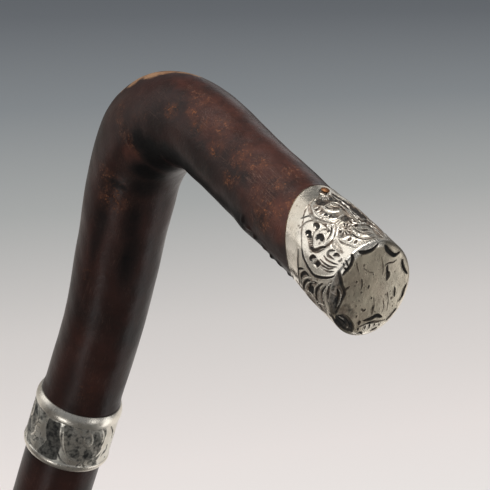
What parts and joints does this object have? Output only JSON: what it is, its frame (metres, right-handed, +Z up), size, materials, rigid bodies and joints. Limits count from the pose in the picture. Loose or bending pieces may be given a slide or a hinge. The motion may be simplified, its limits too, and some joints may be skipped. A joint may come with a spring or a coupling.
{
  "type": "walking stick",
  "caption": "Walking stick with a bent wooden handle, a silver cap on its nose, a silver collar over the joint, a tapered shaft and a metal-tipped ferrule.",
  "frame": {"origin": "middle of the foot's flat underside, on the shaft's axis", "axes": "+Z runs up the shaft; the handle points along +X; the XZ plane holds the bend"},
  "size_m": [0.1159, 0.0258, 0.8906],
  "materials": {
    "handle_wood": "dark red-brown stain and varnish, worn and scratched",
    "shaft_wood": "dark red-brown stain and varnish",
    "stud_steel": "plain steel",
    "collar_silver": "engraved silver, tarnished in the cuts",
    "cap_silver": "engraved silver, dark in the cuts",
    "plate_silver": "flat silver, satin from wear, scratched and dented",
    "cement": "brown pitch cement",
    "pin_brass": "worn brass",
    "ferrule_brass": "worn brass",
    "tip_iron": "dark iron, scuffed underneath"
  },
  "bodies": {
    "root": {"handle": "handle_wood", "shaft": "shaft_wood", "joint_stud": "stud_steel", "collar_band": "collar_silver", "cap_sleeve": "cap_silver", "cap_end_plate": "plate_silver", "cap_cement": "cement", "cap_pin": "pin_brass", "ferrule_tube": "ferrule_brass", "ferrule_tip": "tip_iron", "ferrule_pin": "pin_brass"}
  },
  "joints": []
}
